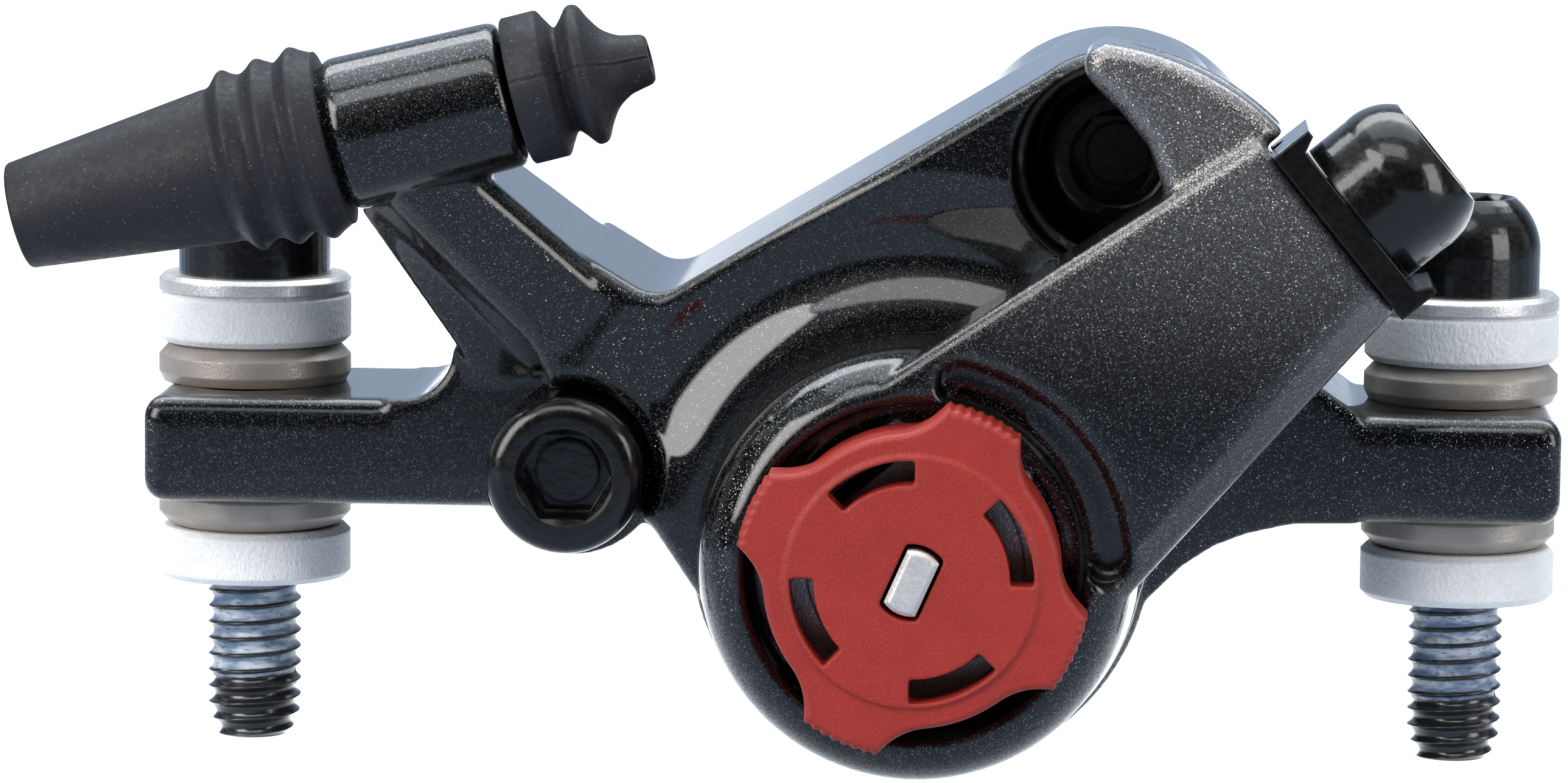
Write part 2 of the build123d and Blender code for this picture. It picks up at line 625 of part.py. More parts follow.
arm -= between(disc(SPRING_ROOM_OUT) - disc(SPRING_ROOM_IN), SPRING_ROOM_Y, ARM_BACK + OVERRUN)
neck_section = disc(NECK_R) & Rectangle(2 * NECK_R, 2 * NECK_FLAT)
neck_hole = disc(NECK_R + THREAD_FIT) & Rectangle(2 * NECK_R + OVERRUN, 2 * (NECK_FLAT + THREAD_FIT))
arm -= between(neck_hole, RECESS_FLOOR - OVERRUN, ARM_BACK + OVERRUN)
arm -= Pos(0, STOP_Y, 0) * ALONG_Y * Torus(HORN_R + GROOVE_R / 2, GROOVE_R)
anchor_hole_end = ARM_END - ANCHOR_HOLE
anchor_hole_r = THREAD_R + THREAD_FIT
anchor_hole = turned_along([
    (anchor_hole_end, 0), (anchor_hole_end, anchor_hole_r), (HORN_R, anchor_hole_r), (HORN_R, 0)])
arm -= Pos(0, ARM_MIDDLE, 0) * anchor_hole
save("actuator_arm", ARM * arm)

# Cable clamp: a plate with two bent lips and a groove for the cable
clamp_end = CLAMP_START + CLAMP_THICK
clamp_outline = flat(
    (CLAMP_START, -CLAMP_HALF), (clamp_end + CLAMP_LIP, -CLAMP_HALF),
    (clamp_end + CLAMP_LIP, CLAMP_LIP_THICK / 2 - CLAMP_HALF), (clamp_end, CLAMP_LIP_THICK - CLAMP_HALF),
    (clamp_end, CLAMP_HALF - CLAMP_LIP_THICK), (clamp_end + CLAMP_LIP, CLAMP_HALF - CLAMP_LIP_THICK / 2),
    (clamp_end + CLAMP_LIP, CLAMP_HALF), (CLAMP_START, CLAMP_HALF))
clamp = between(clamp_outline, CLAMP_FRONT, CLAMP_BACK)
clamp -= Pos(0, ARM_MIDDLE, 0) * turned_along([
    (anchor_hole_end, 0), (anchor_hole_end, HOLE_R), (HORN_R + OVERRUN, HOLE_R), (HORN_R + OVERRUN, 0)])
cable_track = Pos(CLAMP_START, STOP_Y, CLAMP_CABLE_V) * Cylinder(GROOVE_R, 2 * CLAMP_HALF)
clamp -= cable_track
save("cable_clamp", ARM * clamp)
anchor = domed_screw(
    ANCHOR_LENGTH, CLAMP_THICK, ANCHOR_HEAD, ANCHOR_STRAIGHT, (ANCHOR_MID_R, ANCHOR_MID), ANCHOR_TOP_R)
save("cable_anchor_bolt", ARM * Pos(clamp_end + FACE_GAP, ARM_MIDDLE, 0) * Rot(0, 90, 0) * anchor)


# Knobs: four serrated lobes on a round rim
def knob_outline():
    edges = []
    roots = []
    for lobe in range(LOBE_COUNT):
        middle = LOBE_ANGLE + lobe * 360 / LOBE_COUNT
        following = middle + 360 / LOBE_COUNT
        teeth = []
        for step in range(2 * TEETH + 1):
            angle = middle + LOBE_HALF * (step - TEETH) / TEETH
            teeth.append(polar(KNOB_LOBE_R - TOOTH * (step % 2), angle))
        rim_start = polar(KNOB_RIM_R, middle + LOBE_ROOT)
        rim_end = polar(KNOB_RIM_R, following - LOBE_ROOT)
        roots += [rim_start, rim_end]
        edges.append(Polyline(*teeth))
        edges.append(Line(teeth[-1], rim_start))
        edges.append(ThreePointArc(rim_start, polar(KNOB_RIM_R, (middle + following) / 2), rim_end))
        edges.append(Line(rim_end, polar(KNOB_LOBE_R, following - LOBE_HALF)))
    outline = make_face(Curve(edges))
    return fillet([vertex_near(outline, root) for root in roots], ROOT_R)


vents = Sketch()
for lobe in range(LOBE_COUNT):
    middle = LOBE_ANGLE + VENT_TURN + lobe * 360 / LOBE_COUNT
    vents += sector(VENT_IN, VENT_OUT, middle - VENT_HALF, middle + VENT_HALF)
knob = between(knob_outline(), KNOB_FACE, KNOB_BACK)
knob = chamfer(knob.faces().sort_by(Axis.Y)[0].outer_wire().edges(), KNOB_EDGE / 2)
knob += between(disc(KNOB_DISC_R), KNOB_FACE - KNOB_LIFT, KNOB_FACE + KNOB_LIFT)
knob += between(disc(KNOB_RIM_R), KNOB_BACK, KNOB_SKIRT_END)
knob -= between(disc(KNOB_SKIRT_IN) - disc(KNOB_HUB_R), KNOB_FACE + KNOB_PLATE, KNOB_SKIRT_END + OVERRUN)
knob -= between(vents, KNOB_FACE - OVERRUN, KNOB_FACE + KNOB_PLATE + OVERRUN)
knob = PIVOT * knob
knob -= between(stem_outline(STEM_SLOT_R, STEM_SLOT_FLAT), KNOB_FACE - OVERRUN, KNOB_SKIRT_END + OVERRUN)
save("outboard_knob", knob)

# Foot screw: blade-shaped stem, threaded body and pivot pin
stem = between(stem_outline(STEM_R, STEM_FLAT), STEM_TIP, SCREW_FRONT + OVERRUN)
stem = chamfer(stem.faces().sort_by(Axis.Y)[0].outer_wire().edges(), STEM_TIP_EDGE)
foot_screw = stem + rod(SCREW_R, SCREW_FRONT, SCREW_BACK)
foot_screw += rod(SCREW_PIN_R, SCREW_BACK - OVERRUN, SCREW_PIN_END)
save("foot_screw", foot_screw)

# Drive cam with the neck that carries the arm
drive = rod(DRIVE_R, WALL_INNER + WASHER_THICK + FACE_GAP, DRIVE_FACE)
drive += rod(NECK_R, ARM_BACK, WALL_INNER + OVERRUN)
drive += ARM * between(neck_section, NUT_FRONT, ARM_BACK + OVERRUN)
drive -= PIVOT * Pos(0, BALL_Y, 0) * ALONG_Y * Torus(BALL_CIRCLE, BALL_R + RUN_FIT)
drive -= rod(DRIVE_BORE, NUT_FRONT - OVERRUN, DRIVE_FACE + OVERRUN)
save("drive_cam", drive)
nut_outline = RegularPolygon(NUT_FLATS / 2, HEX_SIDES, major_radius=False) - disc(NECK_R + THREAD_FIT)
save("arm_nut", ARM * between(nut_outline, NUT_FRONT, RECESS_FLOOR - FACE_GAP))
save("thrust_washer", ring(WASHER_IN, WASHER_OUT, WALL_INNER, WALL_INNER + WASHER_THICK))
save("dust_seal", ring(SEAL_IN, SEAL_OUT, ARM_BACK + FACE_GAP, PLATE_FRONT + SEAL_DEPTH))

# Return spring in the arm's hollow back
coil = Helix(RETURN_PITCH, RETURN_PITCH * RETURN_TURNS, RETURN_R)
wire = Plane(origin=coil @ 0, z_dir=coil % 0) * Circle(RETURN_WIRE / 2)
save("return_spring", PIVOT * Pos(0, RETURN_START, 0) * Rot(90, 0, 0) * sweep(wire, path=coil))

# Balls, their cage and the thrust cam with its ramps
ball_spots = [polar(BALL_CIRCLE, BALL_START + 360 / BALL_COUNT * number) for number in range(BALL_COUNT)]
save("cam_balls", Compound(children=[PIVOT * Pos(x, BALL_Y, z) * Sphere(BALL_R) for x, z in ball_spots]))
cage = disc(CAGE_OUT) - disc(CAGE_IN)
for x, z in ball_spots:
    cage -= disc(BALL_R + RUN_FIT, x, z)
save("ball_cage", PIVOT * between(cage, CAGE_FRONT, CAGE_BACK))
thrust = between(disc(THRUST_R), THRUST_FRONT, THRUST_BACK)
key_side = KEY_WIDTH / 2
thrust_key = flat((-key_side, 0), (key_side, 0), (key_side, KEY_TOP), (-key_side, KEY_TOP))
thrust += between(thrust_key, THRUST_FRONT, THRUST_BACK)
thrust -= between(disc(SCREW_R + RUN_FIT), THRUST_FRONT - OVERRUN, THRUST_BACK + OVERRUN)
ramp_r = BALL_R + RUN_FIT + RAMP_SLACK
for number in range(BALL_COUNT):
    low = polar(BALL_CIRCLE, BALL_START + 360 / BALL_COUNT * number)
    high = polar(BALL_CIRCLE, BALL_START + RAMP_ANGLE + 360 / BALL_COUNT * number)
    start = Vector(low[0], BALL_Y, low[1])
    end = Vector(high[0], BALL_Y - RAMP_RISE, high[1])
    track = Plane(origin=start, z_dir=end - start) * Cylinder(
        ramp_r, (end - start).length, align=(Align.CENTER, Align.CENTER, Align.MIN))
    thrust -= track
    thrust -= Pos(*start) * Sphere(ramp_r)
    thrust -= Pos(*end) * Sphere(ramp_r)
save("thrust_cam", PIVOT * thrust)

# Pressure foot
foot = rod(FOOT_R, FOOT_Y, FOOT_PAD_Y) + rod(FOOT_BOSS_R, FOOT_BOSS_Y, FOOT_Y + OVERRUN)
foot -= rod(SCREW_PIN_R + RUN_FIT, FOOT_BOSS_Y - OVERRUN, SCREW_PIN_END + 2 * RUN_FIT)
save("pressure_foot", foot)

# Pads: steel plate with a pull tab, and the friction lining
tab = Rot(0, 0, AXLE_DIRECTION) * flat(
    (0, -PAD_TAB_HALF), (PAD_TAB_R, -PAD_TAB_HALF), (PAD_TAB_R, PAD_TAB_HALF), (0, PAD_TAB_HALF))
pad_outline = Pos(PIVOT_X, PIVOT_Z) * (disc(PAD_R) + tab)
outer_face = ROTOR_Y - ROTOR_THICK / 2 - PAD_GAP
inner_face = ROTOR_Y + ROTOR_THICK / 2 + PAD_GAP
outer_plate = outer_face - LINING
inner_plate = inner_face + LINING
save("outboard_lining", rod(LINING_R, outer_plate, outer_face))
save("outboard_pad_plate", between(pad_outline, outer_plate - PAD_PLATE, outer_plate))
save("inboard_lining", rod(LINING_R, inner_face, inner_plate))
save("inboard_pad_plate", between(pad_outline, inner_plate, inner_plate + PAD_PLATE))

# Spreader spring: two curved leaves joined over the rotor's edge
leaf = sector(LEAF_IN, LEAF_OUT, LEAF_FROM, LEAF_TO)
bridge_turn = AXLE_DIRECTION + 180
bridge = Rot(0, 0, bridge_turn) * flat(
    (LEAF_OUT - 2 * LEAF, -LEAF_BRIDGE / 2), (LEAF_OUT - LEAF, -LEAF_BRIDGE / 2),
    (LEAF_OUT - LEAF, LEAF_BRIDGE / 2), (LEAF_OUT - 2 * LEAF, LEAF_BRIDGE / 2))
leaf_low = outer_plate + PAD_TRAVEL + THRUST_TRAVEL
leaf_high = inner_plate - PAD_TRAVEL
spreader = between(leaf, leaf_low, leaf_low + LEAF)
spreader += between(leaf, leaf_high - LEAF, leaf_high)
spreader += between(bridge, leaf_low, leaf_high)
save("pad_spreader", PIVOT * spreader)

# Inboard foot screw and knob
inboard_screw = rod(FOOT_R, inner_plate + PAD_PLATE + FACE_GAP, INBOARD_FOOT_Y - BODY_GAP - EDGE_SOFT)
inboard_screw += rod(SCREW_R, INBOARD_FOOT_Y - OVERRUN, INBOARD_KNOB_Y)
inboard_end = INBOARD_KNOB_Y + INBOARD_KNOB_THICK
inboard_screw += between(stem_outline(STEM_R, STEM_FLAT), INBOARD_KNOB_Y - OVERRUN, inboard_end - EDGE_SOFT)
save("inboard_foot_screw", inboard_screw)
back_knob = between(knob_outline(), INBOARD_KNOB_Y, inboard_end)
back_knob = chamfer(back_knob.faces().sort_by(Axis.Y)[-1].outer_wire().edges(), KNOB_EDGE / 2)
back_knob = PIVOT * back_knob
stem_hole = stem_outline(STEM_R + THREAD_FIT, STEM_FLAT + THREAD_FIT)
back_knob -= between(stem_hole, INBOARD_KNOB_Y - OVERRUN, inboard_end + OVERRUN)
save("inboard_knob", back_knob)
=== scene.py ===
import json
from math import atan2, cos, degrees, hypot, pi, radians, sin

import bmesh
import bpy
from mathutils import Matrix, Vector


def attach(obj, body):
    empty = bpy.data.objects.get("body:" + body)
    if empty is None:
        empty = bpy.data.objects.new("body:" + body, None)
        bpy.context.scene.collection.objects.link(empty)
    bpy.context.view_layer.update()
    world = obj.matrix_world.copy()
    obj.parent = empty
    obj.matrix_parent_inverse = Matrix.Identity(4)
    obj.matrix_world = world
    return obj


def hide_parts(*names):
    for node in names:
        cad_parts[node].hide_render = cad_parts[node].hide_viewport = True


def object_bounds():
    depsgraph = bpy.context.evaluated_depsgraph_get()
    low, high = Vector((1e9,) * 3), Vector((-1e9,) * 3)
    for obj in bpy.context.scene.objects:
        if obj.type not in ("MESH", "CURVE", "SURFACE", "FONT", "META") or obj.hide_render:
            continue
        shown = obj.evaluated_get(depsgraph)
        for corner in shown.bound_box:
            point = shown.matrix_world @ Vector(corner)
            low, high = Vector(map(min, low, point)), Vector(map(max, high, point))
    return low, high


MM = 0.001

# The camera of the photograph
YAW, PITCH, ROLL = radians(3.0), radians(7.0), radians(0.603)
DISTANCE = 420 * MM
TARGET = Vector((-4.359, 0, 11.849)) * MM
FOCAL_PIXELS, PICTURE_WIDTH = 11239, 2576
SENSOR_WIDTH = 36
CLIP_START, CLIP_END = 0.01, 20

# Places on the part, in mm and degrees
STOP_PLACE = Vector((-24.8, -16.0, 29.9)) * MM
STOP_TILT = radians(14.8)
BOLT_PLACES = (-37.0, 37.0)
BELL_X, BELL_Z, BODY_FRONT = 4.45, 3.9, -13.2
HOLLOW_DEPTH, HOLLOW_INNER, HOLLOW_OUTER = 1.25, (14.0, 17.6), (17.6, 23.0)
HOLLOW_START, HOLLOW_END = (52, 72), (150, 172)
HOLLOW_FADE = 1.6

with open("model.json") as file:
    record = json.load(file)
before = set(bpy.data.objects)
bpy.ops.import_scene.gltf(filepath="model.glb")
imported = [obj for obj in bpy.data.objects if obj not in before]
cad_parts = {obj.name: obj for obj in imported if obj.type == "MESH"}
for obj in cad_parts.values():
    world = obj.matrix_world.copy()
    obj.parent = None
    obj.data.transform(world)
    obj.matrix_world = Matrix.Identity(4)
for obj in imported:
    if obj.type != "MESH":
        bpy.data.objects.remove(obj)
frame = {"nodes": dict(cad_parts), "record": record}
cad_box = [list(corner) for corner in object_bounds()]
nodes = frame["nodes"]
scene = bpy.context.scene
node_slot = {part["node"]: part["material_slot"] for part in frame["record"]["subparts"]}
bodies = frame["record"]["behaviour"]["bodies"]
node_body = {node: body for body, members in bodies.items() for node in members}


def link(piece, body=None):
    """Puts a new object into the scene, on a body where one is given."""
    scene.collection.objects.link(piece)
    if body:
        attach(piece, body)
    return piece


def mesh_object(name, vertices, faces, material):
    """A smoothly shaded object of one material, made from its corners and faces."""
    mesh = bpy.data.meshes.new(name)
    mesh.from_pydata(vertices, [], faces)
    mesh.update()
    mesh.materials.append(material)
    for face in mesh.polygons:
        face.use_smooth = True
    return bpy.data.objects.new(name, mesh)


def apply_modifiers(piece):
    """Gives a piece the mesh that its modifiers make, and takes the modifiers off."""
    seen = piece.evaluated_get(bpy.context.evaluated_depsgraph_get())
    mesh = bpy.data.meshes.new_from_object(seen)
    piece.modifiers.clear()
    piece.data = mesh


def set_ramp(node, *numbers):
    """Sets a map range node to a smooth change. The numbers are low, high, start and end."""
    node.interpolation_type = "SMOOTHSTEP"
    for label, number in zip(("From Min", "From Max", "To Min", "To Max"), numbers):
        node.inputs[label].default_value = number


# Materials
CLOUD_SPAN = (0.3, 0.7)  # the numbers that most of a cloud noise lies between
MIX_FIRST, MIX_SECOND, MIX_RESULT = 6, 7, 2  # the colour sockets of a mix node


class Nodes:
    """A material with a Principled shader and short calls for the nodes that feed it."""

    def __init__(self, name, **values):
        self.material = bpy.data.materials.new(name)
        self.material.use_nodes = True
        self.tree = self.material.node_tree
        self.shader = self.tree.nodes["Principled BSDF"]
        for label, value in values.items():
            self.shader.inputs[label.replace("_", " ")].default_value = value
        self.place = self.add("ShaderNodeTexCoord").outputs["Object"]

    def feed(self, socket, value):
        """Links a socket to another one, or sets it to a plain value."""
        if isinstance(value, bpy.types.NodeSocket):
            self.tree.links.new(value, socket)
        else:
            socket.default_value = value

    def add(self, kind, settings=None, **links):
        """A new node. Inputs are given by name, or as i0, i1 and so on by number."""
        node = self.tree.nodes.new(kind)
        for key, value in (settings or {}).items():
            setattr(node, key, value)
        for label, value in links.items():
            by_number = label[0] == "i" and label[1:].isdigit()
            key = int(label[1:]) if by_number else label.replace("_", " ")
            self.feed(node.inputs[key], value)
        return node

    def noise(self, size, detail, stretch=None):
        """Cloud noise whose features measure size."""
        place = self.place
        if stretch:
            place = self.add("ShaderNodeMapping", i0=place, Scale=stretch).outputs[0]
        node = self.add("ShaderNodeTexNoise", Vector=place, Scale=1 / size, Detail=detail)
        return node.outputs["Fac"]

    def cells(self, size):
        """Random numbers for each small cell, as for flakes and grains."""
        node = self.add("ShaderNodeTexVoronoi", Vector=self.place, Scale=1 / size)
        return node.outputs["Color"]

    def first_of(self, colour):
        """The first of a colour's three numbers."""
        return self.add("ShaderNodeSeparateColor", Color=colour).outputs[0]

    def ramp(self, value, low, high, start, end):
        """Start below low, end above high, and a smooth change between."""
        node = self.add("ShaderNodeMapRange", Value=value)
        set_ramp(node, low, high, start, end)
        return node.outputs[0]

    def mix(self, share, first, second):
        """A colour between the first and the second, by the second's share."""
        node = self.add("ShaderNodeMix", {"data_type": "RGBA"}, i0=share)
        self.feed(node.inputs[MIX_FIRST], first)
        self.feed(node.inputs[MIX_SECOND], second)
        return node.outputs[MIX_RESULT]

    def combine(self, kind, operation, values):
        """A node that works out one operation on values or sockets."""
        links = {"i%d" % number: value for number, value in enumerate(values)}
        return self.add(kind, {"operation": operation}, **links)

    def math(self, operation, *values):
        return self.combine("ShaderNodeMath", operation, values).outputs[0]

    def vector(self, operation, *values):
        return self.combine("ShaderNodeVectorMath", operation, values).outputs[0]

    def soft_edges(self, radius):
        """Normals that round a sharp edge over the radius."""
        return self.add("ShaderNodeBevel", {"samples": 4}, Radius=radius).outputs[0]

    def to(self, label, value):
        """Feeds one input of the shader."""
        self.tree.links.new(value, self.shader.inputs[label])

    def bump(self, height, depth, strength, edges=None, label="Normal"):
        """Relief in the shader's normal, on top of soft edges where they are given."""
        node = self.add("ShaderNodeBump", Height=height, Distance=depth, Strength=strength)
        if edges:
            self.tree.links.new(edges, node.inputs["Normal"])
        self.to(label, node.outputs[0])

    def cloudy_colour(self, first, second, size, detail):
        """A base colour that drifts between two."""
        self.to("Base Color", self.mix(self.noise(size, detail), first, second))

    def cloudy_roughness(self, smooth, rough, size, detail):
        """A roughness that drifts between two."""
        self.to("Roughness", self.ramp(self.noise(size, detail), *CLOUD_SPAN, smooth, rough))


def grey(value, warmth=0.0):
    return (value * (1 + warmth), value, value * (1 - warmth), 1)


# Flake paint: sizes, tones, the tones of a painted sheen and the coat's slight waves
FLAKE_SIZE, FLAKE_TILT = 0.065 * MM, 0.6
FLAKE_SPAN = (0.84, 1.01)  # cells with a number below the span stay dark
FLAKE_TONE, FLAKE_WARMTH = 0.19, -0.06
PAINT_DARK = (0.0012, 0.0014, 0.002, 1)
PAINT_EDGE = 0.32 * MM
# Painted sheen: the grey base and brighter flakes that stand in for light falling on the paint
PAINTED_SHEEN_DARK = (0.20, 0.19, 0.185, 1)
PAINTED_SHEEN_FLAKE_TONE, PAINTED_SHEEN_FLAKE_WARMTH = FLAKE_TONE * 2.9, 0.03
COAT_WAVE, COAT_WAVE_DETAIL, COAT_WAVE_DEPTH, COAT_WAVE_STRENGTH = 2.6 * MM, 2, 0.05 * MM, 0.12


def flake_paint(name, painted_sheen=None):
    """Black paint with fine, sparse metal flakes, each at its own tilt, under a smooth clear coat.
    A painted sheen is light painted into the base colour, growing from one place to another, both in
    mm."""
    paint = Nodes(name, Metallic=0.85, Roughness=0.26,
                  Coat_Weight=1.0, Coat_Roughness=0.02, Coat_IOR=1.55)
    flakes = paint.cells(FLAKE_SIZE)
    lit = paint.ramp(paint.first_of(flakes), *FLAKE_SPAN, 0.0, 1.0)
    dark, bright = PAINT_DARK, grey(FLAKE_TONE, FLAKE_WARMTH)
    # Painted sheen: the dark base turns grey and the flakes brighter towards the second place, painted
    # light in place of a reflection
    if painted_sheen:
        start, end = (Vector(place) * MM for place in painted_sheen)
        along = (end - start) / (end - start).length_squared
        low = start.dot(along)
        place = paint.combine("ShaderNodeVectorMath", "DOT_PRODUCT", (paint.place, along))
        share = paint.ramp(place.outputs["Value"], low, low + 1, 0, 1)
        dark = paint.mix(share, dark, PAINTED_SHEEN_DARK)
        bright = paint.mix(share, bright, grey(PAINTED_SHEEN_FLAKE_TONE, PAINTED_SHEEN_FLAKE_WARMTH))
    paint.to("Base Color", paint.mix(lit, dark, bright))
    edges = paint.soft_edges(PAINT_EDGE)
    tilt = paint.vector("SUBTRACT", flakes, (0.5, 0.5, 0.5))
    tilted = paint.vector("MULTIPLY_ADD", tilt, (FLAKE_TILT, FLAKE_TILT, FLAKE_TILT), edges)
    paint.to("Normal", paint.vector("NORMALIZE", tilted))
    waves = paint.noise(COAT_WAVE, COAT_WAVE_DETAIL)
    paint.bump(waves, COAT_WAVE_DEPTH, COAT_WAVE_STRENGTH, edges, label="Coat Normal")
    return paint.material


def black_finish(name):
    """Smooth black plating of the screws and the clamp."""
    made = Nodes(name, Metallic=0.5, Coat_Weight=1.0, Coat_Roughness=0.03, Coat_IOR=1.36)
    made.cloudy_colour(grey(0.002), grey(0.010, 0.06), size=1.1 * MM, detail=5)
    made.cloudy_roughness(0.16, 0.34, size=0.35 * MM, detail=5)
    edges = made.soft_edges(radius=0.25 * MM)
    grain = made.noise(size=0.4 * MM, detail=5)
    made.bump(grain, depth=0.05 * MM, strength=0.4, edges=edges)
    waves = made.noise(size=0.9 * MM, detail=4)
    made.bump(waves, depth=0.05 * MM, strength=0.35, edges=edges, label="Coat Normal")
    return made.material


def blasted_alloy(name):
    """Light alloy with the white sparkle of fine blasting."""
    made = Nodes(name, Metallic=0.05, Roughness=0.5)
    sparkle = made.first_of(made.cells(size=0.14 * MM))
    grains = made.mix(sparkle, grey(0.90, -0.01), grey(1.0, -0.01))
    cloud = made.ramp(made.noise(size=1.2 * MM, detail=4), low=0.4, high=0.75, start=0.0, end=0.3)
    made.to("Base Color", made.mix(cloud, grains, grey(0.75)))
    edges = made.soft_edges(radius=0.25 * MM)
    pits = made.noise(size=0.22 * MM, detail=3, stretch=(1, 1, 0.6))
    made.bump(pits, depth=0.12 * MM, strength=0.8, edges=edges)
    return made.material


def turned_steel(name, tone, warmth, roughness, metallic):
    """Satin steel with a fine grain and a faint cloud of colour."""
    made = Nodes(name, Metallic=metallic)
    made.cloudy_colour(grey(tone * 0.75, warmth * 1.3), grey(tone * 1.2, warmth),
                       size=1.3 * MM, detail=5)
    grain = made.noise(size=0.16 * MM, detail=3)
    made.to("Roughness", made.ramp(grain, *CLOUD_SPAN, roughness - 0.08, roughness + 0.12))
    made.bump(grain, depth=0.05 * MM, strength=0.5, edges=made.soft_edges(radius=0.2 * MM))
    return made.material


def rubber(name):
    """Matt blue-black rubber with the grain of its mould and some dust."""
    made = Nodes(name, Specular_IOR_Level=0.3)
    cloud = made.noise(size=3.0 * MM, detail=4)
    tone = made.mix(cloud, (0.010, 0.0115, 0.015, 1), (0.022, 0.022, 0.026, 1))
    specks = made.first_of(made.cells(size=0.09 * MM))
    dust = made.ramp(specks, low=0.975, high=1.0, start=0.0, end=0.5)
    made.to("Base Color", made.mix(dust, tone, grey(0.16)))
    made.cloudy_roughness(0.46, 0.62, size=0.5 * MM, detail=4)
    made.bump(made.noise(size=0.14 * MM, detail=4), depth=0.05 * MM, strength=0.6)
    return made.material


def red_plastic(name):
    """Red moulded plastic with a fine spark-eroded grain."""
    made = Nodes(name, Specular_IOR_Level=0.45, Subsurface_Weight=0.06, Subsurface_Scale=0.4 * MM)
    made.cloudy_colour((0.29, 0.019, 0.012, 1), (0.38, 0.028, 0.019, 1), size=2.4 * MM, detail=4)
    made.cloudy_roughness(0.38, 0.56, size=0.2 * MM, detail=3)
    edges = made.soft_edges(radius=0.22 * MM)
    made.bump(made.noise(size=0.19 * MM, detail=4), depth=0.09 * MM, strength=0.7, edges=edges)
    return made.material


def lining_grit(name):
    """Pressed friction material with metal specks."""
    made = Nodes(name, Roughness=0.8)
    specks = made.first_of(made.cells(size=0.3 * MM))
    metal = made.ramp(specks, low=0.75, high=0.95, start=0, end=1)
    made.to("Base Color", made.mix(metal, (0.035, 0.028, 0.024, 1), (0.4, 0.25, 0.13, 1)))
    made.to("Metallic", metal)
    made.bump(specks, depth=0.08 * MM, strength=0.5)
    return made.material


def thread_finish(name):
    """Black screw thread, with a pale blue locking patch where the mesh's patch attribute says so."""
    made = Nodes(name, Coat_Weight=0.5, Coat_Roughness=0.2)
    covered = made.add("ShaderNodeAttribute", {"attribute_name": "patch"}).outputs["Fac"]
    wear = made.noise(size=0.5 * MM, detail=5, stretch=(1, 1, 2.6))
    worn = made.ramp(wear, low=0.34, high=0.46, start=0.45, end=1.0)
    share = made.math("MULTIPLY", covered, worn)
    cloud = made.noise(size=1.1 * MM, detail=3, stretch=(0.5, 0.5, 1.6))
    pale = made.ramp(cloud, low=0.38, high=0.62, start=0, end=1)
    patch = made.mix(pale, (0.13, 0.20, 0.32, 1), (0.52, 0.58, 0.66, 1))
    made.to("Base Color", made.mix(share, grey(0.012), patch))
    made.to("Roughness", made.ramp(share, low=0, high=1, start=0.22, end=0.55))
    made.bump(made.noise(size=0.3 * MM, detail=4), depth=0.04 * MM, strength=0.5)
    return made.material


SLOT_MATERIALS = {
    "gloss_black_paint": flake_paint("gloss_black_paint"),
    "black_steel": black_finish("black_steel"),
    "light_alloy": blasted_alloy("light_alloy"),
    "satin_steel": turned_steel("satin_steel", tone=0.40, warmth=0.09, roughness=0.42, metallic=0.45),
    "bright_steel": turned_steel("bright_steel", tone=0.78, warmth=0.02, roughness=0.32, metallic=0.6),
    "black_rubber": rubber("black_rubber"),
    "red_plastic": red_plastic("red_plastic"),
    "friction_lining": lining_grit("friction_lining"),
    "pale_plastic": turned_steel("pale_plastic", tone=0.6, warmth=0.06, roughness=0.6, metallic=0.0)}
patched_thread = thread_finish("patched_thread")
# The arm's paint carries a painted sheen, lighter towards its top
arm_paint_with_painted_sheen = flake_paint("arm_paint_with_painted_sheen", painted_sheen=((13.0, 0.0, 12.0), (16.0, 0.0, 34.0)))
for name, node in nodes.items():
    node.data.materials.clear()
    node.data.materials.append(SLOT_MATERIALS[node_slot[name]])


# Castings
def soft_casting(node, voxel, rounds):
    """A solid's own shape with the soft edges that paint and casting give it."""
    piece = bpy.data.objects.new(node + "_cast", nodes[node].data.copy())
    link(piece)
    grid = piece.modifiers.new("grid", "REMESH")
    grid.mode = "VOXEL"
    grid.voxel_size = voxel
    grid.use_smooth_shade = True
    relax = piece.modifiers.new("relax", "SMOOTH")
    relax.factor = 0.5
    relax.iterations = rounds
    apply_modifiers(piece)
    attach(piece, node_body[node])
    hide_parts(node)
    return piece


def smooth_share(value, low, high):
    """0 below low, 1 above high and a smooth change between."""
    share = min(1, max(0, (value - low) / (high - low)))
    return share * share * (3 - 2 * share)


# The front of the body dips in a shallow hollow around the arm's bell
body = soft_casting("outboard_half", 0.22 * MM, 10)
for vertex in body.data.vertices:
    x, y, z = vertex.co / MM
    away, turn = hypot(x - BELL_X, z - BELL_Z), degrees(atan2(z - BELL_Z, x - BELL_X))
    dip = smooth_share(away, *HOLLOW_INNER) * (1 - smooth_share(away, *HOLLOW_OUTER))
    dip *= smooth_share(turn, *HOLLOW_START) * (1 - smooth_share(turn, *HOLLOW_END))
    dip *= 1 - smooth_share(y, BODY_FRONT, BODY_FRONT + HOLLOW_FADE)
    vertex.co.y += HOLLOW_DEPTH * MM * dip
soft_casting("inboard_half", 0.3 * MM, 8)
soft_casting("actuator_arm", 0.18 * MM, 22).data.materials[0] = arm_paint_with_painted_sheen
soft_casting("outboard_knob", 0.1 * MM, 4)

# The inboard knob's softened back stays within the solids' box
back_knob = soft_casting("inboard_knob", 0.12 * MM, 4)
for vertex in back_knob.data.vertices:
    vertex.co.y = min(vertex.co.y, cad_box[1][1])


